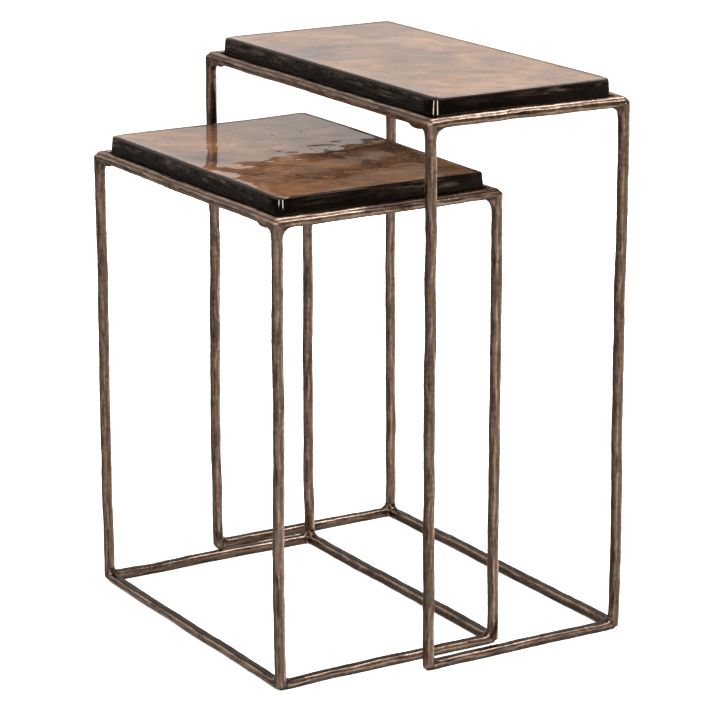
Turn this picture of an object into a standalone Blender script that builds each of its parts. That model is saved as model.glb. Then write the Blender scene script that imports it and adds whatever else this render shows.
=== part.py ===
"""A pair of nesting side tables: hammered bar frames, each carrying a black slab with a patinated top.

Metres, +Z up. The floor is z = 0, +X runs along the tables' long side, and the short table slides in and
out of the tall one along Y. -Y is the open front, where the tall table has no base rail. The origin is on
the floor, in the middle of the box around both tables.
"""

import math

import bmesh
import bpy
from mathutils import Matrix, Vector

# Tables: outside sizes over the bars, and the height of the rails' upper face.
TALL = {"name": "tall", "width": 0.467, "depth": 0.247, "rail_top": 0.586, "slab_gap": 0.0037}
SHORT = {"name": "short", "width": 0.398, "depth": 0.272, "rail_top": 0.497, "slab_gap": 0.0027}
REVEAL = 0.159  # how far the short table's front stands out in front of the tall table's
TALL["base_rails"] = ("left", "right", "back")
SHORT["base_rails"] = ("left", "right", "back", "front")

# Frame bars.
BAR = 0.010
BAR_EDGE_RADIUS = 0.0025
BAR_EDGE_STEPS = 3
FIT_GAP = 0.0003  # left between faces that touch

# Slab and the panel on top of it.
SLAB_RISE = 0.0175  # the panel's top above the rails
PANEL_THICKNESS = 0.0022
PANEL_INSET = 0.0008  # the panel's edge inside the slab's upper edge
PANEL_EDGE_RADIUS = 0.0007
SLAB_CORNER_RADIUS = 0.009
SLAB_DRAFT = 0.0010  # how much narrower the slab is at the top, on each side
SLAB_SHOULDER = 0.0015
CORNER_STEPS = 8

# Supports under the slab: straps welded across the frame, a rubber washer and a screw at each fixing.
STRAP_WIDTH = 0.020
STRAP_THICKNESS = 0.003
STRAP_PLACE = 0.62  # distance of a strap from the middle, as a share of half the slab's width
SCREW_PLACE = 0.60  # the same for a screw along its strap
WASHER_THICKNESS = 0.0015
WASHER_RADIUS = 0.007
SCREW_RADIUS = 0.002
SCREW_DEPTH = 0.008  # how far the screw reaches into the slab
HEAD_RADIUS = 0.004
HEAD_HEIGHT = 0.0022
SOCKET_RADIUS = 0.0015
SOCKET_DEPTH = 0.0012
HOLE_RADIUS = SCREW_RADIUS + FIT_GAP
ROUND_STEPS = 24

# Materials: colour, metallic, roughness.
FINISHES = {
    "frame_bronze": ((0.150, 0.098, 0.070), 1.0, 0.42),
    "slab_black": ((0.012, 0.010, 0.009), 0.0, 0.16),
    "panel_patina": ((0.260, 0.125, 0.055), 0.3, 0.12),
    "washer_rubber": ((0.020, 0.020, 0.020), 0.0, 0.80),
    "screw_steel": ((0.420, 0.410, 0.390), 1.0, 0.35),
}

SIDES = {"left": -1, "right": 1, "front": -1, "back": 1}
CORNERS = [(depth_side, width_side) for depth_side in ("front", "back") for width_side in ("left", "right")]


def clear_scene():
    for old in list(bpy.data.objects):
        bpy.data.objects.remove(old)


def make_materials():
    for name, (colour, metallic, roughness) in FINISHES.items():
        material = bpy.data.materials.new(name)
        material.use_nodes = True
        shader = material.node_tree.nodes["Principled BSDF"]
        shader.inputs["Base Color"].default_value = (*colour, 1)
        shader.inputs["Metallic"].default_value = metallic
        shader.inputs["Roughness"].default_value = roughness
        material.diffuse_color = (*colour, 1)


def add_object(name, shape, finish, parent, place):
    """Makes one named piece from a bmesh, at a place given in its table's own frame."""
    mesh = bpy.data.meshes.new(name)
    bmesh.ops.recalc_face_normals(shape, faces=shape.faces)
    shape.to_mesh(mesh)
    shape.free()
    mesh.shade_smooth()
    mesh.set_sharp_from_angle(angle=math.radians(35))
    mesh.materials.append(bpy.data.materials[finish])
    piece = bpy.data.objects.new(name, mesh)
    bpy.context.scene.collection.objects.link(piece)
    piece.parent = parent
    piece.location = place
    return piece


def bar_shape(size, rounded_ends):
    """A box of this size about its own centre, with rounded long edges and, for a leg, rounded ends."""
    shape = bmesh.new()
    bmesh.ops.create_cube(shape, size=1, matrix=Matrix.Diagonal((*size, 1)))
    length = max(size)
    edges = [e for e in shape.edges if rounded_ends or math.isclose(e.calc_length(), length, rel_tol=1e-4)]
    bmesh.ops.bevel(
        shape, geom=edges, offset=BAR_EDGE_RADIUS, segments=BAR_EDGE_STEPS, profile=0.5, affect="EDGES"
    )
    return shape


def cylinder_shape(radius, height, steps=ROUND_STEPS):
    """A closed cylinder that stands on its own origin."""
    shape = bmesh.new()
    bmesh.ops.create_cone(
        shape,
        cap_ends=True,
        segments=steps,
        radius1=radius,
        radius2=radius,
        depth=height,
        matrix=Matrix.Translation((0, 0, height / 2)),
    )
    return shape


def rounded_rectangle(width, depth, radius, height):
    """The corners' arc points of a rounded rectangle, anticlockwise, at this height."""
    points = []
    for quarter, (side_x, side_y) in enumerate(((1, 1), (-1, 1), (-1, -1), (1, -1))):
        centre = Vector((side_x * (width / 2 - radius), side_y * (depth / 2 - radius), height))
        for step in range(CORNER_STEPS + 1):
            angle = math.radians(90) * (quarter + step / CORNER_STEPS)
            points.append(centre + radius * Vector((math.cos(angle), math.sin(angle), 0)))
    return points


def plate_shape(width, depth, profile):
    """A plate with rounded corners. The profile gives each ring's inset from the sides and its height."""
    shape = bmesh.new()
    rings = []
    for inset, height in profile:
        outline = rounded_rectangle(width - 2 * inset, depth - 2 * inset, SLAB_CORNER_RADIUS - inset, height)
        rings.append([shape.verts.new(point) for point in outline])
    for lower, upper in zip(rings, rings[1:]):
        for i in range(len(lower)):
            j = (i + 1) % len(lower)
            shape.faces.new((lower[i], lower[j], upper[j], upper[i]))
    shape.faces.new(rings[0][::-1])
    shape.faces.new(rings[-1])
    return shape


def shoulder(inset, top, radius, steps=3):
    """Profile points of a rounded upper edge, from the side up to the flat top."""
    turns = [math.radians(90) * step / steps for step in range(steps + 1)]
    return [(inset + radius * (1 - math.cos(t)), top - radius * (1 - math.sin(t))) for t in turns]


def cut(piece, cutter_name, shape, place):
    """Cuts a shape out of a piece, both in the same table's frame."""
    cutter = add_object(cutter_name, shape, "screw_steel", piece.parent, place)
    cutter.hide_render = True
    cutter.display_type = "WIRE"
    difference = piece.modifiers.new(cutter_name, "BOOLEAN")
    difference.operation = "DIFFERENCE"
    difference.solver = "EXACT"
    difference.object = cutter


def make_legs(table, parent):
    for depth_side, width_side in CORNERS:
        place = (
            SIDES[width_side] * (table["width"] - BAR) / 2,
            SIDES[depth_side] * (table["depth"] - BAR) / 2,
            table["rail_top"] / 2,
        )
        shape = bar_shape((BAR, BAR, table["rail_top"]), rounded_ends=True)
        add_object(f"{table['name']}_leg_{depth_side}_{width_side}", shape, "frame_bronze", parent, place)


def make_rail(table, parent, level, side):
    """One rail between two legs. Left and right rails run along Y, front and back rails along X."""
    along_y = side in ("left", "right")
    length = table["depth" if along_y else "width"] - 2 * (BAR + FIT_GAP)
    size = (BAR, length, BAR) if along_y else (length, BAR, BAR)
    offset = SIDES[side] * (table["width" if along_y else "depth"] - BAR) / 2
    height = BAR / 2 if level == "base" else table["rail_top"] - BAR / 2
    place = (offset, 0, height) if along_y else (0, offset, height)
    shape = bar_shape(size, rounded_ends=False)
    add_object(f"{table['name']}_{level}_rail_{side}", shape, "frame_bronze", parent, place)


def fixing_places(table):
    """Where each screw goes, in plan: name ending and the X and Y of its axis."""
    reach_x = STRAP_PLACE * (table["width"] / 2 - BAR)
    reach_y = SCREW_PLACE * (table["depth"] / 2 - BAR)
    return {
        f"{depth_side}_{width_side}": (SIDES[width_side] * reach_x, SIDES[depth_side] * reach_y)
        for depth_side, width_side in CORNERS
    }


def make_straps(table, parent):
    """Two flat straps across the frame, flush with the rails' lower face, each drilled for two screws."""
    low = table["rail_top"] - BAR
    length = table["depth"] - 2 * (BAR + FIT_GAP)
    fixings = fixing_places(table)
    for side in ("left", "right"):
        x = fixings[f"front_{side}"][0]
        shape = bmesh.new()
        bmesh.ops.create_cube(shape, size=1, matrix=Matrix.Diagonal((STRAP_WIDTH, length, STRAP_THICKNESS, 1)))
        name = f"{table['name']}_strap_{side}"
        strap = add_object(name, shape, "frame_bronze", parent, (x, 0, low + STRAP_THICKNESS / 2))
        for depth_side in ("front", "back"):
            y = fixings[f"{depth_side}_{side}"][1]
            drill = cylinder_shape(HOLE_RADIUS, 3 * STRAP_THICKNESS)
            cut(strap, f"{name}_drill_{depth_side}", drill, (x, y, low - STRAP_THICKNESS))


def make_slab(table, parent):
    """The black slab, drilled from below for the screws, and the patinated panel that covers it."""
    low = table["rail_top"] - BAR + STRAP_THICKNESS + WASHER_THICKNESS + 2 * FIT_GAP
    top = table["rail_top"] + SLAB_RISE
    slab_top = top - PANEL_THICKNESS - FIT_GAP
    width = table["width"] - 2 * (BAR + table["slab_gap"])
    depth = table["depth"] - 2 * (BAR + table["slab_gap"])
    profile = [(SLAB_DRAFT, 0), (0, SLAB_DRAFT)] + shoulder(SLAB_DRAFT, slab_top - low, SLAB_SHOULDER)
    slab_name = f"{table['name']}_slab"
    slab = add_object(slab_name, plate_shape(width, depth, profile), "slab_black", parent, (0, 0, low))
    for ending, (x, y) in fixing_places(table).items():
        drill = cylinder_shape(HOLE_RADIUS, 2 * SCREW_DEPTH)
        cut(slab, f"{slab_name}_drill_{ending}", drill, (x, y, low - SCREW_DEPTH + FIT_GAP))
    inset = SLAB_DRAFT + PANEL_INSET
    profile = [(inset, 0)] + shoulder(inset, PANEL_THICKNESS, PANEL_EDGE_RADIUS)
    place = (0, 0, slab_top + FIT_GAP)
    add_object(f"{table['name']}_top_panel", plate_shape(width, depth, profile), "panel_patina", parent, place)


def make_fixings(table, parent):
    """A rubber washer above each strap and a socket-head screw that comes up through both."""
    strap_low = table["rail_top"] - BAR
    washer_low = strap_low + STRAP_THICKNESS + FIT_GAP
    slab_low = washer_low + WASHER_THICKNESS + FIT_GAP
    for ending, (x, y) in fixing_places(table).items():
        washer_name = f"{table['name']}_washer_{ending}"
        shape = cylinder_shape(WASHER_RADIUS, WASHER_THICKNESS)
        washer = add_object(washer_name, shape, "washer_rubber", parent, (x, y, washer_low))
        bore = cylinder_shape(HOLE_RADIUS, 3 * WASHER_THICKNESS)
        cut(washer, f"{washer_name}_bore", bore, (x, y, washer_low - WASHER_THICKNESS))

        shank_length = slab_low + SCREW_DEPTH - FIT_GAP - strap_low
        outline = [
            (0, 0),
            (HEAD_RADIUS * 0.8, 0),
            (HEAD_RADIUS, HEAD_HEIGHT * 0.4),
            (HEAD_RADIUS, HEAD_HEIGHT - FIT_GAP),
            (SCREW_RADIUS, HEAD_HEIGHT - FIT_GAP),
            (SCREW_RADIUS, HEAD_HEIGHT + shank_length - SCREW_RADIUS / 2),
            (SCREW_RADIUS / 2, HEAD_HEIGHT + shank_length),
            (0, HEAD_HEIGHT + shank_length),
        ]
        screw_name = f"{table['name']}_screw_{ending}"
        place = (x, y, strap_low - HEAD_HEIGHT)
        screw = add_object(screw_name, turned_shape(outline), "screw_steel", parent, place)
        socket = cylinder_shape(SOCKET_RADIUS, 2 * SOCKET_DEPTH, steps=6)
        cut(screw, f"{screw_name}_socket", socket, (x, y, place[2] - SOCKET_DEPTH))


def turned_shape(outline):
    """A solid of revolution about Z, from (radius, height) points that start and end on the axis."""
    shape = bmesh.new()
    points = [shape.verts.new((radius, 0, height)) for radius, height in outline]
    edges = [shape.edges.new(pair) for pair in zip(points, points[1:])]
    bmesh.ops.spin(
        shape,
        geom=points + edges,
        cent=(0, 0, 0),
        axis=(0, 0, 1),
        angle=math.radians(360),
        steps=ROUND_STEPS,
        use_merge=True,
    )
    bmesh.ops.remove_doubles(shape, verts=shape.verts, dist=1e-6)
    return shape


def make_table(table, centre_y):
    """One table under its own empty, which stands on the floor at the table's middle."""
    root = bpy.data.objects.new(f"{table['name']}_table", None)
    bpy.context.scene.collection.objects.link(root)
    root.location = (0, centre_y, 0)
    make_legs(table, root)
    for side in ("front", "back", "left", "right"):
        make_rail(table, root, "top", side)
    for side in table["base_rails"]:
        make_rail(table, root, "base", side)
    make_straps(table, root)
    make_slab(table, root)
    make_fixings(table, root)


def main():
    clear_scene()
    make_materials()
    overall_depth = REVEAL + TALL["depth"]
    make_table(TALL, (overall_depth - TALL["depth"]) / 2)
    make_table(SHORT, (SHORT["depth"] - overall_depth) / 2)


main()
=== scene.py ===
"""Looks for the nesting tables: hammered bronze bars, black cast slabs and patinated tops."""

import math
import random

import bmesh
import bpy
import numpy as np
from mathutils import Matrix, Vector, noise


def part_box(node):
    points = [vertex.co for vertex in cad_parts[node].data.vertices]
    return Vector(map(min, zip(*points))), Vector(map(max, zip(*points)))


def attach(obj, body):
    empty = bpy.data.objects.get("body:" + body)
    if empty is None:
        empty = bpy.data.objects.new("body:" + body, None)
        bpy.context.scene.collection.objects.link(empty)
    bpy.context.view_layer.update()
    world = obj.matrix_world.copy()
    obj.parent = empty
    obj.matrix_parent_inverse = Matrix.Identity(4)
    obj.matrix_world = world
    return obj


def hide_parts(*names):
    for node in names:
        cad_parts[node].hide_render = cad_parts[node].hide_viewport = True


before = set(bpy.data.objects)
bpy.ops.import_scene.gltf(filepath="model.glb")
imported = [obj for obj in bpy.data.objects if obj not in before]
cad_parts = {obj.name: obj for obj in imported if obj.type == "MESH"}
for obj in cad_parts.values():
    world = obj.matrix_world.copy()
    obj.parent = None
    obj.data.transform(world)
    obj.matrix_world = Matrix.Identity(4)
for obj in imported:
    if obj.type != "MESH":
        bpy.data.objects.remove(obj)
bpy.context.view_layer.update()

dice = random.Random(11)
TABLES = {"tall": "tall_table", "short": "short_table"}
MM = 0.001

# The camera, and the directions in plan to its right and away from it
CAMERA_PLACE = (2.703, -1.625, 1.158)
CAMERA_LENS = 150.3  # mm
SENSOR_WIDTH = 36  # mm
HEADING, PITCH, ROLL = 148.70, 15.60, 0.11  # degrees
TO_RIGHT = (0.515, 0.857, 0.0)
TO_BACK = (-0.854, 0.520, 0.0)

# The studio's brightness by the sine of the elevation: right wall, left wall and far backdrop
RIGHT_WALL = [
    (-1.0, 0.30), (-0.55, 0.45), (-0.36, 1.20), (-0.16, 1.35),
    (-0.10, 0.04), (0.30, 0.09), (0.64, 0.15), (0.84, 1.9),
]
LEFT_WALL = [
    (-1.0, 0.25), (-0.50, 0.33), (-0.30, 0.36), (-0.17, 0.34), (-0.11, 0.05),
    (0.00, 0.08), (0.12, 0.44), (0.55, 0.55), (0.90, 1.3),
]
BACKDROP = [(0.02, 0.0), (0.06, 1.0), (0.15, 1.0), (0.26, 0.55), (0.33, 0.0)]
BRIGHTEST = 4  # the most that these ramps can hold
STUDIO_WHITE = (1.0, 0.948, 0.900, 1)
FLOOR_HALF = 12.0

# Bars
VOXEL = 1.1 * MM
CHAMFER = 1.7 * MM  # on the bars' long edges, before smoothing
CORNER_ROUNDING = 6.5 * MM  # on the frames' outer corners, seen from a side
FILLET_TOP = 12 * MM  # weld fillet between a leg and a top rail
FILLET_BASE = 7 * MM
FILLET_FLAT = 4 * MM  # between two rails, seen from above
SMOOTH_ROUNDS = 8
INFLATE = 0.38 * MM  # gives back what smoothing takes off
BASE_SWELL = 0.45 * MM  # the base rails are a little stouter
BEND = 1.5 * MM  # long, slow bends of the whole frame
BEND_LENGTH = 230 * MM
WOBBLE = 0.9 * MM  # short ones
WOBBLE_LENGTH = 60 * MM
FACET_DEPTH = 0.65 * MM
FACET_LENGTH = 34 * MM
FACET_WIDTH = 8 * MM
DENT_DEPTH = 0.14 * MM
DENT_SIZE = 5 * MM
CREST = (25, 130)  # curvature, per metre, at which an arris starts to be worn and is fully worn
HOLLOW = (-15, -90)  # and at which a hollow starts to be dark and is fully dark
# The back base rails' faces that meet when the short table is pushed in: how far they may stand
# out from their CAD boxes, how high and how far from the middle this holds, and where it ends
SLACK = 0.4 * MM
SHORT_MEETING_HEIGHT = 14 * MM
TALL_MEETING_HEIGHT = 20 * MM
MEETING_HALF_LENGTH = 205 * MM
MEETING_END = 218 * MM
NOISE_SEED = {"tall": 3.7, "short": 91.2}
# Lumps under the front top rail: distance in from its left or right end, depth below the frame's
# top, and half sizes
LEFT_LUMP = (25 * MM, 9.5 * MM, (10 * MM, 4.5 * MM, 4.2 * MM))
RIGHT_LUMP = (30 * MM, 10 * MM, (13 * MM, 4.5 * MM, 4.0 * MM))
GRAIN_ALONG = 0.14  # of the place along a bar that its grain pattern sees, for long streaks

# Slabs and panels
SLAB_STEP = 2.0 * MM
SLAB_DRAFT = 1.7 * MM  # how far the sides lean in from bottom to top
SLAB_CORNER = 8 * MM
SLAB_FOOT = 1.2 * MM  # radius of the slab's lower edge
SLAB_ROUGHNESS = 0.45 * MM
SHOULDER = 2.3 * MM  # radius of the slab's upper edge
LAP = 0.12 * MM  # the panel's coat over the top of that edge, and the slab's black beyond its side
PANEL_STEP = 1.9 * MM
# Distances in from the edge, in mm, where the panel's mesh is finer
PANEL_EDGE_PLACES = (
    0.0, 0.06, 0.18, 0.36, 0.60, 0.90, 1.3, 1.8, 2.5, 3.4, 4.6, 6.0, 7.6, 9.3, 11.1, 13.0,
)
PANEL_SWELL = 0.14 * MM
PANEL_SWELL_LENGTH = 80 * MM
PANEL_WAVE = 0.30 * MM
PANEL_WAVE_LENGTH = 30 * MM
PANEL_RIPPLE = 0.060 * MM
PANEL_RIPPLE_LENGTH = 10 * MM
# How far the poured coat creeps up at its near edges, and over what distance
MENISCUS = {"front": (1.30 * MM, 10 * MM), "right": (0.45 * MM, 3.5 * MM)}
DROOP = 0.45 * MM  # how far it then falls at the edge itself
DROOP_WIDTH = 2.6 * MM
LIP = 0.95 * MM  # how far it stands up along its back and left edges
LIP_WIDTH = 5.0 * MM
SHORT_RISE = 0.015  # the short top's slope, up toward its back right
PIMPLE = 1.3 * MM
PIMPLES_ON_SIDE = 9
PIMPLES_ON_TOP = {"tall": 0, "short": 45}
PIMPLE_FLATNESS = 0.22  # of those on the top
BLACK_BORDER = 22 * MM  # of the slab's underside
RIM_FADE = (1.0 * MM, 2.0 * MM)  # the top is black up to the first distance from its edge
RIM_RAGGEDNESS = 0.6 * MM
BACK_RIM_SHADE_WIDTH = 1.6 * MM  # the black is this much wider along the back and left edges, as painted shade for a dark line there

# Colours
PIT_BROWN = (0.045, 0.026, 0.017, 1)
HOLLOW_BROWN = (0.055, 0.032, 0.020, 1)
# painted shade, for the low up-facing faces and the bars' feet
PAINTED_SHADE_BROWN = (0.028, 0.016, 0.010, 1)
NICK_BROWN = (0.030, 0.018, 0.012, 1)
RUBBED_BRONZE = (0.78, 0.57, 0.45, 1)
CAST_BLACK = (0.0009, 0.0006, 0.0004, 1)
SHEEN_AND_CAST_BROWN = (0.044, 0.029, 0.021, 1)
VEIN_BROWN = (0.055, 0.034, 0.026, 1)
RIM_BLACK = (0.012, 0.006, 0.004, 1)


def new_object(name, mesh):
    obj = bpy.data.objects.new(name, mesh)
    bpy.context.scene.collection.objects.link(obj)
    return obj


def coords(mesh):
    flat = np.empty(len(mesh.vertices) * 3, np.float32)
    mesh.vertices.foreach_get("co", flat)
    return flat.reshape(-1, 3).astype(float)


def set_coords(mesh, points):
    mesh.vertices.foreach_set("co", points.astype(np.float32).ravel())
    mesh.update()


def vertex_normals(mesh):
    flat = np.empty(len(mesh.vertices) * 3, np.float32)
    mesh.vertices.foreach_get("normal", flat)
    return flat.reshape(-1, 3).astype(float)


def store(mesh, name, values):
    """Keeps one value per point, which a material reads by its name."""
    data = mesh.attributes.new(name, "FLOAT", "POINT").data
    data.foreach_set("value", values.astype(np.float32))


def noise_at(points, lengths, offset=0.0):
    """Perlin noise from -1 to 1, stretched to these feature lengths. The offset sets it apart."""
    scaled = points / np.asarray(lengths) + offset
    return np.array([noise.noise(Vector(p)) for p in scaled])


def smoothstep(low, high, value):
    t = np.clip((value - low) / (high - low), 0, 1)
    return t * t * (3 - 2 * t)


# ---------------------------------------------------------------- camera, lights and floor


def make_camera():
    """From the front right, a little above the tops, with a long lens."""
    data = bpy.data.cameras.new("camera")
    data.sensor_width = SENSOR_WIDTH
    data.lens = CAMERA_LENS
    camera = bpy.data.objects.new("camera", data)
    bpy.context.scene.collection.objects.link(camera)
    camera.location = CAMERA_PLACE
    heading, pitch, roll = math.radians(HEADING), math.radians(PITCH), math.radians(ROLL)
    camera.rotation_euler = (math.radians(90) - pitch, roll, heading - math.radians(90))
    bpy.context.scene.camera = camera


def make_world():
    """A photo studio: white floor, dark gap, low white backdrop, dark walls, bright ceiling."""
    world = bpy.data.worlds.new("studio")
    bpy.context.scene.world = world
    world.use_nodes = True
    nodes, links = world.node_tree.nodes, world.node_tree.links
    background = nodes["Background"]
    place = nodes.new("ShaderNodeTexCoord")
    split = nodes.new("ShaderNodeSeparateXYZ")
    links.new(place.outputs["Generated"], split.inputs[0])
    height = nodes.new("ShaderNodeMapRange")
    height.inputs["From Min"].default_value = -1.0
    links.new(split.outputs["Z"], height.inputs["Value"])

    def by_height(stops):
        """Strength / BRIGHTEST, from (sine of elevation, strength) pairs."""
        node = nodes.new("ShaderNodeValToRGB")
        elements = node.color_ramp.elements
        while len(elements) < len(stops):
            elements.new(0.5)
        for element, (sine, strength) in zip(elements, stops):
            share = strength / BRIGHTEST
            element.position = (sine + 1) / 2
            element.color = (share, share, share, 1)
        links.new(height.outputs["Result"], node.inputs["Fac"])
        return node.outputs["Color"]

    def math_node(operation, first, second):
        node = nodes.new("ShaderNodeMath")
        node.operation = operation
        for socket, value in zip(node.inputs, (first, second)):
            if isinstance(value, float):
                socket.default_value = value
            else:
                links.new(value, socket)
        return node.outputs[0]

    def toward(direction, low, high, to_low, to_high):
        """From to_low to to_high as the view turns toward a direction."""
        facing = nodes.new("ShaderNodeVectorMath")
        facing.operation = "DOT_PRODUCT"
        facing.inputs[1].default_value = direction
        links.new(place.outputs["Generated"], facing.inputs[0])
        share = nodes.new("ShaderNodeMapRange")
        limits = {"From Min": low, "From Max": high, "To Min": to_low, "To Max": to_high}
        for name, value in limits.items():
            share.inputs[name].default_value = value
        links.new(facing.outputs["Value"], share.inputs["Value"])
        return share.outputs["Result"]

    rightness = toward(TO_RIGHT, 0.1, 0.8, 0.0, 1.0)
    leftness = math_node("SUBTRACT", 1.0, rightness)
    right = math_node("MULTIPLY", by_height(RIGHT_WALL), rightness)
    left = math_node("MULTIPLY", by_height(LEFT_WALL), leftness)
    backdrop = math_node("MULTIPLY", by_height(BACKDROP), toward(TO_BACK, -0.4, 0.7, 0.15, 0.37))
    total = math_node("ADD", math_node("ADD", right, left), backdrop)
    strength = math_node("MULTIPLY", total, float(BRIGHTEST))
    links.new(strength, background.inputs["Strength"])
    background.inputs["Color"].default_value = STUDIO_WHITE


def area_light(name, place, target, size, power, shines=True, only_on=None):
    """shines: also seen in reflections; only_on: the pieces that it lights, or None for all."""
    data = bpy.data.lights.new(name, "AREA")
    data.shape = "RECTANGLE"
    data.size, data.size_y = size
    data.energy = power
    light = bpy.data.objects.new(name, data)
    bpy.context.scene.collection.objects.link(light)
    light.location = place
    light.visible_camera = False
    light.visible_glossy = shines
    if only_on:
        receivers = bpy.data.collections.new(name + "_receivers")
        for piece in only_on:
            receivers.objects.link(piece)
        light.light_linking.receiver_collection = receivers
    light.rotation_euler = (Vector(target) - Vector(place)).to_track_quat("-Z", "Y").to_euler()


def make_floor():
    mesh = bpy.data.meshes.new("floor")
    quarters = ((-1, -1), (1, -1), (1, 1), (-1, 1))
    corners = [(x * FLOOR_HALF, y * FLOOR_HALF, 0) for x, y in quarters]
    mesh.from_pydata(corners, [], [(0, 1, 2, 3)])
    floor = new_object("floor", mesh)
    material = bpy.data.materials.new("floor_pale")
    material.use_nodes = True
    shader = material.node_tree.nodes["Principled BSDF"]
    shader.inputs["Base Color"].default_value = (0.93, 0.93, 0.93, 1)
    shader.inputs["Roughness"].default_value = 0.9
    shader.inputs["Specular IOR Level"].default_value = 0.1
    shader.inputs["Emission Color"].default_value = (1, 1, 1, 1)
    shader.inputs["Emission Strength"].default_value = 0.8
    mesh.materials.append(material)
    floor.visible_glossy = False  # keeps the gloss from washing out in the floor's white


# ---------------------------------------------------------------- materials


class Nodes:
    """Short forms for building one material's node tree."""

    def __init__(self, name):
        self.material = bpy.data.materials.new(name)
        self.material.use_nodes = True
        self.tree = self.material.node_tree
        self.shader = self.tree.nodes["Principled BSDF"]

    def add(self, kind, inputs=None, **settings):
        node = self.tree.nodes.new(kind)
        for key, value in settings.items():
            setattr(node, key, value)
        for key, value in (inputs or {}).items():
            self.feed(node.inputs[key], value)
        return node

    def feed(self, socket, value):
        if isinstance(value, bpy.types.NodeSocket):
            self.tree.links.new(value, socket)
        else:
            socket.default_value = value

    def place(self, scale):
        """Places on the object, for a pattern that is this much finer along each axis."""
        inputs = {"Vector": self.add("ShaderNodeTexCoord").outputs["Object"], "Scale": scale}
        return self.add("ShaderNodeMapping", inputs).outputs["Vector"]

    def drawn_out(self, heading, stretch):
        """Places for a pattern that is this many times longer along a heading in plan."""
        inputs = {"Vector": self.add("ShaderNodeTexCoord").outputs["Object"]}
        inputs |= {"Rotation": (0, 0, heading), "Scale": (stretch, 1, 1)}
        return self.add("ShaderNodeMapping", inputs, vector_type="TEXTURE").outputs["Vector"]

    def noise(self, vector, scale, detail, roughness, distortion=0.0):
        inputs = {"Vector": vector, "Scale": scale, "Detail": detail, "Roughness": roughness}
        inputs["Distortion"] = distortion
        return self.add("ShaderNodeTexNoise", inputs).outputs["Fac"]

    def ramp(self, value, stops):
        """A colour ramp from (position, colour) pairs."""
        node = self.add("ShaderNodeValToRGB", {"Fac": value})
        elements = node.color_ramp.elements
        while len(elements) < len(stops):
            elements.new(0.5)
        for element, (position, colour) in zip(elements, stops):
            element.position = position
            element.color = (*colour, 1)
        return node.outputs["Color"]

    def spread(self, value, low, high, to_low=0.0, to_high=1.0):
        """A value from low to high, carried over to the range from to_low to to_high."""
        inputs = {"Value": value, "From Min": low, "From Max": high}
        inputs |= {"To Min": to_low, "To Max": to_high}
        return self.add("ShaderNodeMapRange", inputs).outputs["Result"]

    def math(self, operation, first, second):
        return self.add("ShaderNodeMath", {0: first, 1: second}, operation=operation).outputs[0]

    def weighted(self, *terms):
        """The sum of (value, weight) pairs."""
        total = None
        for value, weight in terms:
            term = self.math("MULTIPLY", value, weight)
            total = term if total is None else self.math("ADD", total, term)
        return total

    def mix(self, factor, first, second):
        node = self.add("ShaderNodeMix", data_type="RGBA")
        self.feed(node.inputs[0], factor)
        self.feed(node.inputs[6], first)
        self.feed(node.inputs[7], second)
        return node.outputs[2]

    def bump(self, height, strength, distance):
        inputs = {"Height": height, "Strength": strength, "Distance": distance}
        return self.add("ShaderNodeBump", inputs).outputs["Normal"]

    def attribute(self, name, output="Fac"):
        return self.add("ShaderNodeAttribute", attribute_name=name).outputs[output]

    def finished(self, inputs):
        """The material, with these inputs of its shader."""
        for name, value in inputs.items():
            self.feed(self.shader.inputs[name], value)
        return self.material


def bronze_material():
    """Antique bronze: brown skin with dark pits and streaks, rubbed pale along the arrises, and
    painted shade on the low up-facing faces and near the floor.
    """
    n = Nodes("bronze")
    crest, hollow = n.attribute("crest"), n.attribute("hollow")
    place = n.place((1, 1, 1))
    fine = n.noise(place, 420, 4, 0.6)
    streak = n.noise(n.attribute("grain", "Vector"), 240, 4, 0.6)
    blotch = n.noise(place, 55, 4, 0.6)
    broad = n.noise(place, 13, 3, 0.5)
    skin = n.ramp(
        n.weighted((blotch, 0.28), (streak, 0.42), (broad, 0.30)),
        [
            (0.34, (0.085, 0.052, 0.035)),
            (0.44, (0.135, 0.089, 0.064)),
            (0.54, (0.198, 0.136, 0.100)),
            (0.66, (0.290, 0.208, 0.158)),
        ],
    )
    pits = n.spread(fine, 0.60, 0.72)
    skin = n.mix(n.math("MULTIPLY", pits, 0.5), skin, PIT_BROWN)
    skin = n.mix(n.math("MULTIPLY", hollow, 0.75), skin, HOLLOW_BROWN)
    # Painted shade: the up-facing faces low on the frame and the last few mm above the floor are
    # darkened
    skin = n.mix(n.math("MULTIPLY", n.attribute("painted_shade"), 0.9), skin, PAINTED_SHADE_BROWN)
    cell = n.add("ShaderNodeTexVoronoi", {"Vector": place, "Scale": 95.0})
    chosen = n.spread(n.noise(place, 40, 1, 0.5), 0.56, 0.60)
    nick = n.math("MULTIPLY", n.spread(cell.outputs["Distance"], 0.06, 0.16, 1.0, 0.0), chosen)
    skin = n.mix(n.math("MULTIPLY", nick, 0.85), skin, NICK_BROWN)
    wear = n.math("MULTIPLY", crest, n.spread(streak, 0.36, 0.56))
    wear = n.math("MULTIPLY", wear, n.spread(n.attribute("painted_shade"), 0.3, 1.0, 1.0, 0.0))
    relief = n.weighted((streak, 0.25), (blotch, 0.75))
    return n.finished(
        {
            "Base Color": n.mix(n.math("MULTIPLY", wear, 0.75), skin, RUBBED_BRONZE),
            "Metallic": 1.0,
            "Roughness": n.spread(blotch, 0.3, 0.7, 0.22, 0.38),
            "Normal": n.bump(relief, 0.5, 0.0016),
        }
    )


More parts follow.
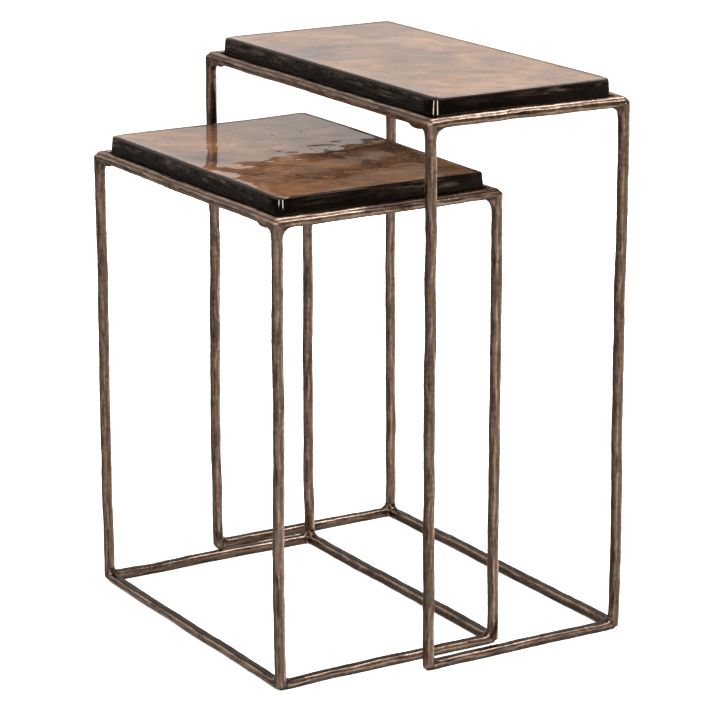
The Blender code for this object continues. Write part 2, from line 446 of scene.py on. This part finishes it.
def slab_material():
    """Black gloss over a rough casting, with brown and grey streaks where it is thin, and as
    painted sheen on the upper part of the sides.
    """
    n = Nodes("black_gloss")
    rough, sheen_and_bare = n.attribute("rough_side"), n.attribute("sheen_and_bare_side")
    streak = n.noise(n.place((0.10, 0.10, 1.0)), 330, 5, 0.66, 0.4)
    patch = n.noise(n.place((1, 1, 2.5)), 30, 3, 0.55)
    thin_and_sheen = n.math("MULTIPLY", n.spread(streak, 0.45, 0.70), n.spread(patch, 0.40, 0.58))
    thin_and_sheen = n.math("MULTIPLY", thin_and_sheen, n.spread(sheen_and_bare, 0, 1, 0.01, 1.0))
    height = n.math("MULTIPLY", streak, n.spread(rough, 0, 1))
    return n.finished(
        {
            # The brown streaks stand partly for thin black and partly for painted sheen on the
            # upper sides
            "Base Color": n.mix(thin_and_sheen, CAST_BLACK, SHEEN_AND_CAST_BROWN),
            "Roughness": n.spread(n.math("MULTIPLY", streak, sheen_and_bare), 0.2, 0.7, 0.06, 0.32),
            "Specular IOR Level": 0.18,
            "Specular Tint": (1.0, 0.86, 0.74, 1),
            "Normal": n.bump(height, 0.6, 0.0012),
        }
    )


def board_material():
    """The plain brown middle of the slab's underside."""
    n = Nodes("board_brown")
    grain = n.noise(n.place((1, 6, 1)), 40, 5, 0.6)
    colour = n.ramp(grain, [(0.3, (0.13, 0.085, 0.055)), (0.7, (0.22, 0.150, 0.105))])
    return n.finished({"Base Color": colour, "Roughness": 0.7})


def patina_material():
    """Marbled brown and amber patina with thin dark veins, sealed under a clear coat."""
    n = Nodes("patina")
    place = n.place((1, 1, 1))
    brushed = math.radians(59)
    flow = n.noise(place, 14, 5, 0.58, 0.5)
    mottle = n.noise(place, 60, 6, 0.68, 0.5)
    wisp = n.noise(n.drawn_out(brushed, 3.5), 85, 5, 0.62, 0.9)
    cloud = n.noise(place, 5, 3, 0.5, 0.4)
    colour = n.ramp(
        n.weighted((flow, 0.40), (mottle, 0.14), (wisp, 0.20), (cloud, 0.26)),
        [
            (0.41, (0.048, 0.018, 0.008)),
            (0.46, (0.135, 0.050, 0.016)),
            (0.52, (0.240, 0.096, 0.031)),
            (0.58, (0.390, 0.184, 0.077)),
        ],
    )
    vein_noise = n.noise(n.drawn_out(brushed, 2.5), 30, 4, 0.55, 0.8)
    vein = n.math("ABSOLUTE", n.math("SUBTRACT", vein_noise, 0.5), 0.0)
    vein = n.math("MULTIPLY", n.spread(vein, 0.0, 0.030, 1.0, 0.0), n.spread(cloud, 0.42, 0.58))
    colour = n.mix(n.math("MULTIPLY", vein, 0.45), colour, VEIN_BROWN)
    speck = n.add("ShaderNodeTexVoronoi", {"Vector": place, "Scale": 85.0})
    chosen = n.spread(n.noise(place, 30, 1, 0.5), 0.60, 0.66)
    pimple = n.math("MULTIPLY", n.spread(speck.outputs["Distance"], 0.0, 0.16, 1.0, 0.0), chosen)
    return n.finished(
        {
            "Base Color": n.mix(n.attribute("rim"), colour, RIM_BLACK),
            "Roughness": n.spread(mottle, 0.3, 0.7, 0.40, 0.58),
            "Specular IOR Level": 0.1,
            "Coat Weight": 1.0,
            "Coat Roughness": 0.015,
            "Coat IOR": 1.5,
            "Coat Normal": n.bump(pimple, 0.6, 0.0006),
        }
    )


def plain_material(name, colour, metallic, roughness, grain_scale, grain_depth):
    """A small fitting's material: one colour broken up by fine grain."""
    n = Nodes(name)
    grain = n.noise(n.place((1, 1, 1)), grain_scale, 3, 0.6)
    dark = tuple(c * 0.7 for c in colour)
    return n.finished(
        {
            "Base Color": n.ramp(grain, [(0.3, dark), (0.7, colour)]),
            "Metallic": metallic,
            "Roughness": n.spread(grain, 0.3, 0.7, roughness * 0.85, roughness * 1.15),
            "Normal": n.bump(grain, 0.4, grain_depth),
        }
    )


# ---------------------------------------------------------------- bars


class Bar:
    """One CAD bar: its box, the axis that it runs along and its half width."""

    def __init__(self, node):
        self.node = node
        self.low, self.high = (np.array(corner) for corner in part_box(node))
        self.axis = int(np.argmax(self.high - self.low))
        self.centre = (self.low + self.high) / 2
        self.half = (self.high - self.low) / 2
        self.is_leg = "_leg_" in node
        self.is_base = "_base_" in node
        across = [i for i in range(3) if i != self.axis]
        self.width = self.half[across[0]]

    def corner(self, end):
        """The middle of the joint at one end, -1 or 1."""
        point = self.centre.copy()
        past_end = -self.width if self.is_leg else self.width
        point[self.axis] += end * (self.half[self.axis] + past_end)
        return point


def add_bar(shape, low, high, axis, chamfered_ends):
    """A box with chamfered long edges, and chamfered ends too if asked."""
    u, v = (k for k in range(3) if k != axis)
    section = []
    for su, sv in ((1, 1), (-1, 1), (-1, -1), (1, -1)):
        corner = (high[u] if su > 0 else low[u], high[v] if sv > 0 else low[v])
        along_u = (corner[0] - su * CHAMFER, corner[1])
        along_v = (corner[0], corner[1] - sv * CHAMFER)
        section += [along_v, along_u] if su * sv > 0 else [along_u, along_v]
    centre = ((low[u] + high[u]) / 2, (low[v] + high[v]) / 2)
    start, stop = low[axis], high[axis]
    rows = [(start, 1.0), (stop, 1.0)]
    if chamfered_ends:
        pinch = 1 - 2 * CHAMFER / (high[u] - low[u])
        rows = [(start, pinch), (start + CHAMFER, 1.0), (stop - CHAMFER, 1.0), (stop, pinch)]
    rings = []
    for place, share in rows:
        ring = []
        for pu, pv in section:
            point = [0.0, 0.0, 0.0]
            point[axis] = place
            point[u] = centre[0] + (pu - centre[0]) * share
            point[v] = centre[1] + (pv - centre[1]) * share
            ring.append(shape.verts.new(point))
        rings.append(ring)
    for below, above in zip(rings, rings[1:]):
        for i in range(8):
            j = (i + 1) % 8
            shape.faces.new((below[i], below[j], above[j], above[i]))
    shape.faces.new(rings[0][::-1])
    shape.faces.new(rings[-1])


def add_fillet(shape, corner, along_a, along_b, across, radius, half_width):
    """A web between two bars: a quarter-round hollow in the plane of a and b."""
    steps = 8
    sink = 2.5 * MM
    outline = [corner - sink * (along_a + along_b), corner + radius * along_a - sink * along_b]
    for step in range(steps + 1):
        angle = math.radians(90) * step / steps
        hollow = (1 - math.sin(angle)) * along_a + (1 - math.cos(angle)) * along_b
        outline.append(corner + radius * hollow)
    outline.append(corner + radius * along_b - sink * along_a)
    near = [shape.verts.new(p - half_width * across) for p in outline]
    far = [shape.verts.new(p + half_width * across) for p in outline]
    faces = [shape.faces.new(near), shape.faces.new(far[::-1])]
    for i in range(len(outline)):
        j = (i + 1) % len(outline)
        faces.append(shape.faces.new((near[i], far[i], far[j], near[j])))
    bmesh.ops.triangulate(shape, faces=faces[:2])


def rough_frame(bars, lumps):
    """Boxes, fillets and lumps of one table's frame, overlapping, as one mesh."""
    shape = bmesh.new()
    unit = np.eye(3)
    legs = [b for b in bars if b.is_leg]
    rails = [b for b in bars if not b.is_leg]
    for bar in bars:
        low, high = bar.low.copy(), bar.high.copy()
        if not bar.is_leg:
            low[bar.axis] -= bar.width
            high[bar.axis] += bar.width
        add_bar(shape, low, high, bar.axis, bar.is_leg)
    for leg in legs:
        web = leg.width - 1.2 * MM
        met = []
        for rail in rails:
            apart = np.abs(rail.centre - leg.centre)[:2]
            if np.all(apart < rail.half[:2] + leg.half[:2] + MM):
                met.append(rail)
        for rail in met:
            inward = unit[rail.axis] * np.sign(rail.centre - leg.centre)[rail.axis]
            upward = unit[2] if rail.is_base else -unit[2]
            corner = np.array([*leg.centre[:2], rail.centre[2]]) + leg.width * (inward + upward)
            radius = FILLET_BASE if rail.is_base else FILLET_TOP
            across = unit[1 - rail.axis]
            add_fillet(shape, corner, inward, upward, across, radius, web)
        for level in (True, False):
            pair = [r for r in met if r.is_base == level]
            if len(pair) == 2:
                first, second = (
                    unit[r.axis] * np.sign(r.centre - leg.centre)[r.axis] for r in pair
                )
                middle = np.array([*leg.centre[:2], pair[0].centre[2]])
                corner = middle + leg.width * (first + second)
                add_fillet(shape, corner, first, second, unit[2], FILLET_FLAT, web)
    for place, size in lumps:
        matrix = Matrix.Translation(place) @ Matrix.Diagonal((*size, 1))
        bmesh.ops.create_icosphere(shape, subdivisions=2, radius=1, matrix=matrix)
    bmesh.ops.recalc_face_normals(shape, faces=shape.faces)
    mesh = bpy.data.meshes.new("rough_frame")
    shape.to_mesh(mesh)
    shape.free()
    return mesh


def remeshed(mesh):
    """One skin over the overlapping shapes, with its edges rounded by smoothing."""
    obj = new_object("rough", mesh)
    remesh = obj.modifiers.new("remesh", "REMESH")
    remesh.mode = "VOXEL"
    remesh.voxel_size = VOXEL
    smooth = obj.modifiers.new("smooth", "SMOOTH")
    smooth.factor = 0.5
    smooth.iterations = SMOOTH_ROUNDS
    graph = bpy.context.evaluated_depsgraph_get()
    skin = bpy.data.meshes.new_from_object(obj.evaluated_get(graph))
    bpy.data.objects.remove(obj)
    return skin


def round_corners(points, bars):
    """Rounds the frame's outer corners as seen from the front and from the side."""
    low = np.min([b.low for b in bars], axis=0)
    high = np.max([b.high for b in bars], axis=0)
    radius = CORNER_ROUNDING
    for k in (0, 1):
        for side in (-1, 1):
            for top in (-1, 1):
                face = high[k] if side > 0 else low[k]
                level = high[2] if top > 0 else low[2]
                across = radius - (face - points[:, k]) * side
                up = radius - (level - points[:, 2]) * top
                reach = np.maximum(across, up)
                inside = (across > 0) & (up > 0)
                scale = np.where(inside, reach / np.maximum(np.hypot(across, up), 1e-9), 1)
                move_across, move_up = across * (scale - 1), up * (scale - 1)
                points[:, k] += np.where(inside, move_across * side, 0)
                points[:, 2] += np.where(inside, move_up * top, 0)


def curvature(mesh, points):
    """Mean curvature at each point, per metre: above zero on an arris, below it in a hollow."""
    mesh.update()
    normals = vertex_normals(mesh)
    ends = np.empty(len(mesh.edges) * 2, np.int32)
    mesh.edges.foreach_get("vertices", ends)
    ends = ends.reshape(-1, 2)
    both = np.concatenate([ends, ends[:, ::-1]])
    count = np.bincount(both[:, 0], minlength=len(points))

    def mean_of_neighbours(values):
        return np.bincount(both[:, 0], weights=values[both[:, 1]], minlength=len(points)) / count

    pull = np.stack([mean_of_neighbours(points[:, k]) for k in range(3)], axis=1) - points
    bend = -2 * np.einsum("ij,ij->i", pull, normals) / VOXEL**2
    for _ in range(3):
        bend = 0.5 * bend + 0.5 * mean_of_neighbours(bend)
    return bend


def keep_clear(points, bars):
    """Flattens the faces that come together when the short table is pushed fully in."""
    back = next(b for b in bars if b.is_base and "_back" in b.node)
    across, height = np.abs(points[:, 0]), points[:, 2]
    if back.node.startswith("short"):
        limit = back.high[1] + SLACK + 0.2 * np.maximum(height - SHORT_MEETING_HEIGHT, 0)
        points[:, 1] = np.minimum(points[:, 1], limit)
        return
    limit = back.low[1] - SLACK - 0.5 * np.maximum(across - MEETING_HALF_LENGTH, 0)
    near_face = points[:, 1] > back.low[1] - 8 * MM
    near_face &= (height < TALL_MEETING_HEIGHT) & (across < MEETING_END)
    points[:, 1] = np.where(near_face, np.maximum(points[:, 1], limit), points[:, 1])


def hammer(skin, bars, seed):
    """Moves the skin's points as forging does, and marks its worn arrises, its dark hollows and
    where shade is painted.
    """
    points, normals = coords(skin), vertex_normals(skin)
    reach = np.full(len(points), np.inf)
    owner = np.zeros(len(points), int)
    for i, bar in enumerate(bars):
        outside = np.linalg.norm(np.maximum(np.abs(points - bar.centre) - bar.half, 0), axis=1)
        closer = outside < reach - 1e-6
        reach[closer] = outside[closer]
        owner[closer] = i
    lengths = np.full((len(points), 3), FACET_WIDTH)
    fade = np.ones(len(points))
    for i, bar in enumerate(bars):
        mine = owner == i
        local = points[mine] - bar.centre
        lengths[mine, bar.axis] = FACET_LENGTH
        to_end = bar.half[bar.axis] - np.abs(local[:, bar.axis])
        fade[mine] = smoothstep(-4 * MM, 16 * MM, to_end - (0 if not bar.is_leg else bar.width))
    round_corners(points, bars)
    bends = [noise_at(points, BEND_LENGTH, seed + 31.7 * k) for k in range(3)]
    wobbles = [noise_at(points, WOBBLE_LENGTH, seed + 17.3 * k) for k in range(3)]
    shift = BEND * np.stack(bends, axis=1)
    shift += WOBBLE * np.stack(wobbles, axis=1)
    facets = noise_at(points, lengths, seed + 5.1)
    facets = 1 - 2 * np.abs(facets) ** 0.7
    dents = noise_at(points, DENT_SIZE, seed + 40.7)
    on_base = np.array([bar.is_base for bar in bars])[owner]
    lift = INFLATE + BASE_SWELL * on_base
    lift = lift + FACET_DEPTH * 0.5 * (facets - 0.35) * fade + DENT_DEPTH * dents
    points = points + shift + normals * lift[:, None]
    points[:, 2] = np.maximum(points[:, 2], 0)
    keep_clear(points, bars)
    set_coords(skin, points)
    bend = curvature(skin, points)
    for name, limits in (("crest", CREST), ("hollow", HOLLOW)):
        store(skin, name, smoothstep(0, 1, (bend - limits[0]) / (limits[1] - limits[0])))
    height = points[:, 2]
    # Painted shade: up-facing faces in the lowest 30 mm, and everything near the floor, are marked
    # to be darkened
    facing_up = smoothstep(0.64, 0.90, vertex_normals(skin)[:, 2]) * (height < 30 * MM)
    near_floor = 0.8 * (1 - smoothstep(1 * MM, 9 * MM, height))
    store(skin, "painted_shade", np.maximum(facing_up, near_floor))


def leaving(bar, bars, corner):
    """The other bars that leave this corner, as (axis, direction)."""
    found = []
    for other in bars:
        for end in (-1, 1):
            if other is not bar and np.linalg.norm(other.corner(end) - corner) < MM:
                found.append((other.axis, -end))
    return found


def cut_bar(skin, bar, bars, material):
    """The part of the skin that belongs to one bar, cut along the mitres at its ends and closed."""
    margin = FILLET_TOP + 3 * MM
    shape = bmesh.new()
    shape.from_mesh(skin)
    low, high = bar.low - margin, bar.high + margin
    away = [v for v in shape.verts if not all(low[k] < v.co[k] < high[k] for k in range(3))]
    bmesh.ops.delete(shape, geom=away, context="VERTS")
    unit = np.eye(3)
    for end in (-1, 1):
        corner = bar.corner(end)
        for k, side in leaving(bar, bars, corner):
            normal = unit[k] * side + unit[bar.axis] * end
            geometry = shape.verts[:] + shape.edges[:] + shape.faces[:]
            cut = bmesh.ops.bisect_plane(
                shape, geom=geometry, dist=1e-7, plane_co=corner, plane_no=normal, clear_outer=True
            )
            edges = [e for e in cut["geom_cut"] if isinstance(e, bmesh.types.BMEdge)]
            rim = [e for e in edges if e.is_valid and e.is_boundary]
            bmesh.ops.holes_fill(shape, edges=rim, sides=0)
    mesh = bpy.data.meshes.new(bar.node + "_bar")
    shape.to_mesh(mesh)
    shape.free()
    grain = coords(mesh)
    grain[:, bar.axis] *= GRAIN_ALONG
    data = mesh.attributes.new("grain", "FLOAT_VECTOR", "POINT").data
    data.foreach_set("vector", grain.astype(np.float32).ravel())
    mesh.shade_smooth()
    mesh.set_sharp_from_angle(angle=math.radians(60))
    mesh.materials.append(material)
    return new_object(mesh.name, mesh)


def make_frames(material):
    for table, body in TABLES.items():
        names = [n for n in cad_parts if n.startswith(table)]
        bars = [Bar(n) for n in sorted(names) if "_leg_" in n or "_rail_" in n]
        corner_low = np.min([b.low for b in bars], axis=0)
        corner_high = np.max([b.high for b in bars], axis=0)
        rail_top = corner_high[2]
        front = corner_low[1] + bars[0].width
        lumps = []
        for end, way, (inset, depth, size) in (
            (corner_low[0], 1, LEFT_LUMP),
            (corner_high[0], -1, RIGHT_LUMP),
        ):
            lumps.append(((end + way * inset, front, rail_top - depth), size))
        skin = remeshed(rough_frame(bars, lumps))
        hammer(skin, bars, NOISE_SEED[table])
        for bar in bars:
            piece = cut_bar(skin, bar, bars, material)
            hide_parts(bar.node)
            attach(piece, body)
        bpy.data.meshes.remove(skin)


# ---------------------------------------------------------------- slabs and panels


def rounded_outline(centre, half, radius, step):
    """Points, about a step apart, and outward directions round a rounded rectangle."""
    points, directions = [], []
    quarters = ((1, 1), (-1, 1), (-1, -1), (1, -1))
    arc_steps = max(4, round(radius * math.pi / 2 / (step * 0.5)))
    hubs = [
        np.array([centre[0] + sx * (half[0] - radius), centre[1] + sy * (half[1] - radius)])
        for sx, sy in quarters
    ]
    for quarter, hub in enumerate(hubs):
        for i in range(arc_steps + 1):
            angle = math.radians(90) * (quarter + i / arc_steps)
            outward = np.array([math.cos(angle), math.sin(angle)])
            points.append(hub + radius * outward)
            directions.append(outward)
        end_angle = math.radians(90) * (quarter + 1)
        outward = np.array([math.cos(end_angle), math.sin(end_angle)])
        start, stop = hub + radius * outward, hubs[(quarter + 1) % 4] + radius * outward
        count = round(np.linalg.norm(stop - start) / step)
        for i in range(1, count):
            points.append(start + (stop - start) * i / count)
            directions.append(outward)
    return np.array(points), np.array(directions)


def ring_faces(rows, count):
    """Faces between neighbouring rings of this many points each."""
    faces = []
    for row in range(rows - 1):
        below, above = row * count, (row + 1) * count
        for i in range(count):
            j = (i + 1) % count
            faces.append((below + i, below + j, above + j, above + i))
    return faces


def add_pimples(mesh, places, radius, squash):
    """Small domes standing on a surface, as trapped bubbles leave in a poured coat."""
    shape = bmesh.new()
    shape.from_mesh(mesh)
    for place, size in places:
        size = radius * size
        matrix = Matrix.Translation(place) @ Matrix.Diagonal((size, size, size * squash, 1))
        bmesh.ops.create_icosphere(shape, subdivisions=3, radius=1, matrix=matrix)
    shape.to_mesh(mesh)
    shape.free()


def slab_profile(tall, board_height):
    """The slab's side from the bottom up, as (inset, height) pairs."""
    profile = [(3.0 * MM, 0.0), (SLAB_FOOT, 0.0), (SLAB_FOOT / 3, SLAB_FOOT / 3), (0.0, SLAB_FOOT)]
    side_rows, shoulder_rows = 12, 6
    for i in range(1, side_rows + 1):
        share = i / side_rows
        inset = SLAB_DRAFT * (0.6 * share + 0.4 * share**2)
        profile.append((inset, SLAB_FOOT + (tall - SHOULDER - SLAB_FOOT) * share))
    for i in range(1, shoulder_rows + 1):
        angle = math.radians(90) * i / shoulder_rows
        inset = SLAB_DRAFT + SHOULDER * (1 - math.cos(angle))
        profile.append((inset, tall - SHOULDER * (1 - math.sin(angle))))
    profile.append((SLAB_DRAFT + SHOULDER + 1.5 * MM, tall))
    profile.append((SLAB_DRAFT + SHOULDER + 1.6 * MM, board_height))
    return profile


def roughen_slab(mesh, low, high, tall):
    """Moves the side's points as a rough casting, and marks where it is rough and where it is bare,
    with painted sheen, on its upper part.
    """
    centre, half = (np.array(low) + np.array(high)) / 2, (np.array(high) - np.array(low)) / 2
    at, normals = coords(mesh), vertex_normals(mesh)
    front, back = smoothstep(0.2, 0.95, -normals[:, 1]), smoothstep(0.3, 0.8, normals[:, 1])
    rear_start, rear_end = centre[1] - 0.2 * half[1], centre[1] + 0.5 * half[1]
    rear_half = smoothstep(rear_start, rear_end, at[:, 1])
    sides = smoothstep(0.3, 0.8, np.abs(normals[:, 0])) * (0.10 + 0.5 * rear_half)
    from_corner = np.hypot(at[:, 0] - high[0], at[:, 1] - low[1])
    rough = np.clip(front + back + sides, 0, 1) * smoothstep(12 * MM, 26 * MM, from_corner)
    relief = 0.6 * noise_at(at, (18 * MM, 18 * MM, 7 * MM), 2.0)
    relief += 0.4 * noise_at(at, (7 * MM, 7 * MM, 4 * MM), 8.0)
    height = at[:, 2] - low[2]
    side = smoothstep(0, 2 * MM, height)
    side = side * (1 - smoothstep(tall - 2.4 * MM, tall - 0.6 * MM, height))
    lift = SLAB_ROUGHNESS * relief * side * (0.10 + 0.90 * rough)
    set_coords(mesh, at + normals * lift[:, None])
    # Brown streaks only on the upper part of each side, painted sheen there as well as thin black;
    # below, the side stays black
    level = height / tall + 0.20 * noise_at(at, (45 * MM, 45 * MM, 9 * MM), 4.0)
    store(mesh, "rough_side", rough)
    store(mesh, "sheen_and_bare_side", rough * smoothstep(0.46, 0.66, level))


def make_slab(table, body, gloss, board):
    """The black cast slab: a rough tapered side, a rounded upper edge and a board underneath."""
    low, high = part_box(f"{table}_slab")
    panel_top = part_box(f"{table}_top_panel")[1][2]
    centre, half = (np.array(low) + np.array(high)) / 2, (np.array(high) - np.array(low)) / 2
    outline, outward = rounded_outline(centre, half, SLAB_CORNER, SLAB_STEP)
    tall = panel_top - low[2] - DROOP - LAP
    inner_outline = centre[:2] + (outline - centre[:2]) * (1 - BLACK_BORDER / half[:2])
    profile = slab_profile(tall, high[2] - low[2])
    points = [(x, y, low[2]) for x, y in inner_outline]
    for inset, height in profile:
        points += [(x, y, low[2] + height) for x, y in outline - outward * inset]
    count = len(outline)
    faces = ring_faces(len(profile) + 1, count)
    faces.append(tuple(range(count))[::-1])
    faces.append(tuple(len(profile) * count + i for i in range(count)))
    mesh = bpy.data.meshes.new(f"{table}_slab_cast")
    mesh.from_pydata(points, [], faces)
    mesh.materials.append(gloss)
    mesh.materials.append(board)
    underside = len(mesh.polygons) - 2
    mesh.polygons[underside].material_index = 1
    roughen_slab(mesh, low, high, tall)
    places = []  # on the front side, more of them toward its right end
    for _ in range(PIMPLES_ON_SIDE):
        x = low[0] + (high[0] - low[0]) * (1 - dice.random() ** 1.6 * 0.9) - 12 * MM
        height = tall * (0.66 + 0.22 * dice.random())
        y = low[1] + SLAB_DRAFT * height / tall - 0.1 * MM
        places.append(((x, y, low[2] + height), 0.6 + 0.6 * dice.random()))
    add_pimples(mesh, places, PIMPLE, 1.0)
    mesh.shade_smooth()
    mesh.set_sharp_from_angle(angle=math.radians(50))
    piece = new_object(mesh.name, mesh)
    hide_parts(f"{table}_slab")
    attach(piece, body)
    return piece


def graded(half):
    """Places from -half to half: the edge places near both ends, and even steps between."""
    edge = np.array(PANEL_EDGE_PLACES) * MM
    width = edge[-1]
    inner = np.linspace(-(half - width), half - width, round(2 * (half - width) / PANEL_STEP) + 1)
    return np.concatenate([-half + edge[:-1], inner, half - edge[:-1][::-1]])


def panel_grid(half, radius):
    """The panel in plan, round its own middle: two grids of places, and their edge distances."""
    grid_x, grid_y = np.meshgrid(graded(half[0]), graded(half[1]))
    over_x = np.clip((np.abs(grid_x) - (half[0] - radius)) / radius, 0, 1)
    over_y = np.clip((np.abs(grid_y) - (half[1] - radius)) / radius, 0, 1)
    round_x = over_x * np.sqrt(1 - over_y**2 / 2)
    round_y = over_y * np.sqrt(1 - over_x**2 / 2)
    flat_x = np.sign(grid_x) * (np.abs(grid_x) - radius * (over_x - round_x))
    flat_y = np.sign(grid_y) * (np.abs(grid_y) - radius * (over_y - round_y))
    edge = np.minimum(half[0] - np.abs(flat_x), half[1] - np.abs(flat_y))
    corner = (over_x > 0) & (over_y > 0)
    edge = np.where(corner, radius * (1 - np.hypot(round_x, round_y)), edge).ravel()
    return flat_x, flat_y, np.maximum(edge, 0)


def pimples_on_top(table, surface, centre, half):
    """Random places on the top, mostly toward its front and left, each with a size."""
    places = []
    for _ in range(PIMPLES_ON_TOP[table]):
        x = centre[0] + half[0] * (1.3 * dice.random() - 0.75)
        y = centre[1] + half[1] * (1.4 * dice.random() - 0.80)
        nearest = np.argmin(np.hypot(surface[:, 0] - x, surface[:, 1] - y))
        places.append(((x, y, surface[nearest, 2]), 0.5 + 0.9 * dice.random()))
    return places


def make_panel(table, body, patina):
    """The top panel: rippled, raised near its edges and lapping over the slab's shoulder."""
    low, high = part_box(f"{table}_top_panel")
    slab_low, slab_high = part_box(f"{table}_slab")
    inset = SLAB_DRAFT + LAP
    centre = (np.array(slab_low) + np.array(slab_high)) / 2
    half = (np.array(slab_high) - np.array(slab_low)) / 2 - inset
    flat_x, flat_y, edge = panel_grid(half, SLAB_CORNER - inset)
    level = np.zeros(flat_x.size)
    surface = np.stack([flat_x.ravel() + centre[0], flat_y.ravel() + centre[1], level], axis=1)
    calm = 1 - 0.75 * smoothstep(-0.25, 0.30, noise_at(surface, 90 * MM, 21.0))
    height = PANEL_SWELL * noise_at(surface, PANEL_SWELL_LENGTH, 1.5)
    height += PANEL_WAVE * noise_at(surface, PANEL_WAVE_LENGTH, 5.9) * calm
    height += PANEL_RIPPLE * noise_at(surface, PANEL_RIPPLE_LENGTH, 7.7) * calm
    height *= 0.3 + 0.7 * smoothstep(0, 7 * MM, edge)
    if table == "short":
        x, y = surface[:, 0] - centre[0], surface[:, 1] - centre[1]
        away = x * TO_BACK[0] + y * TO_BACK[1]
        right = x * TO_RIGHT[0] + y * TO_RIGHT[1]
        height += SHORT_RISE * away * smoothstep(-0.06, 0.10, right)
    to_front = np.minimum(half[0] - flat_x, half[1] + flat_y).ravel()
    to_back = np.minimum(half[0] + flat_x, half[1] - flat_y).ravel()
    for to_edge, side in ((half[1] + flat_y, "front"), (half[0] - flat_x, "right")):
        rise, decay = MENISCUS[side]
        height += rise * np.exp(-to_edge.ravel() / decay) * smoothstep(0, 20 * MM, to_back)
    height -= DROOP * np.clip(1 - to_front / DROOP_WIDTH, 0, 1) ** 1.5
    height += LIP * np.clip(1 - to_back / LIP_WIDTH, 0, 1) * smoothstep(0, 20 * MM, to_front)
    over = np.clip(1 - edge / SHOULDER, 0, 1)
    height -= SHOULDER * (1 - np.sqrt(1 - over**2))
    surface[:, 2] = high[2] + height
    rows, cols = flat_x.shape
    faces = []
    for row in range(rows - 1):
        for first in range(row * cols, row * cols + cols - 1):
            faces.append((first, first + 1, first + cols + 1, first + cols))
    mesh = bpy.data.meshes.new(f"{table}_top_patina")
    mesh.from_pydata(surface.tolist(), [], faces)
    # Painted shade: the black rim is widened along the back and left edges
    wide = np.where(to_back < to_front, BACK_RIM_SHADE_WIDTH, 0.0)
    ragged_edge = edge - wide + RIM_RAGGEDNESS * noise_at(surface, 9 * MM, 3.0)
    store(mesh, "rim", 1 - smoothstep(*RIM_FADE, ragged_edge))
    shape = bmesh.new()
    shape.from_mesh(mesh)
    rim = [e for e in shape.edges if e.is_boundary]
    made = bmesh.ops.extrude_edge_only(shape, edges=rim)["geom"]
    for v in made:
        if isinstance(v, bmesh.types.BMVert):
            v.co.z = low[2] - 0.2 * MM
    rim = [e for e in made if isinstance(e, bmesh.types.BMEdge)]
    bmesh.ops.holes_fill(shape, edges=[e for e in rim if e.is_boundary], sides=0)
    bmesh.ops.recalc_face_normals(shape, faces=shape.faces)
    shape.to_mesh(mesh)
    shape.free()
    add_pimples(mesh, pimples_on_top(table, surface, centre, half), PIMPLE, PIMPLE_FLATNESS)
    mesh.shade_smooth()
    mesh.set_sharp_from_angle(angle=math.radians(60))
    mesh.materials.append(patina)
    piece = new_object(mesh.name, mesh)
    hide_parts(f"{table}_top_panel")
    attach(piece, body)


# ---------------------------------------------------------------- the scene


def main():
    bpy.context.scene.view_settings.view_transform = "Standard"
    make_camera()
    make_world()
    area_light("overhead", (0.45, 1.05, 2.2), (0, 0, 0.5), (0.8, 0.4), 9)
    area_light("right", (2.1, 1.0, 0.95), (0, 0, 0.50), (1.0, 0.7), 90, shines=False)
    area_light("behind", (-2.1, 1.3, 0.95), (0, 0, 0.50), (1.8, 0.5), 85, shines=False)
    make_floor()
    bronze = bronze_material()
    make_frames(bronze)
    gloss, board, patina = slab_material(), board_material(), patina_material()
    rubber = plain_material("rubber", (0.03, 0.03, 0.03), 0.0, 0.8, 900, 0.0004)
    steel = plain_material("screw_steel", (0.45, 0.44, 0.42), 1.0, 0.35, 1500, 0.0001)
    slabs = [make_slab(table, body, gloss, board) for table, body in TABLES.items()]
    for table, body in TABLES.items():
        make_panel(table, body, patina)
    area_light("front_left", (0.62, -2.05, 0.83), (0, 0, 0.55), (0.50, 0.72), 70, only_on=slabs)
    area_light("front_right", (2.10, -0.45, 0.83), (0, 0, 0.55), (0.50, 0.72), 70, only_on=slabs)
    for name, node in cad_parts.items():
        if "_strap_" in name or "_washer_" in name or "_screw_" in name:
            finish = bronze if "_strap_" in name else rubber if "_washer_" in name else steel
            node.data.materials.clear()
            node.data.materials.append(finish)


main()
bpy.context.view_layer.update()
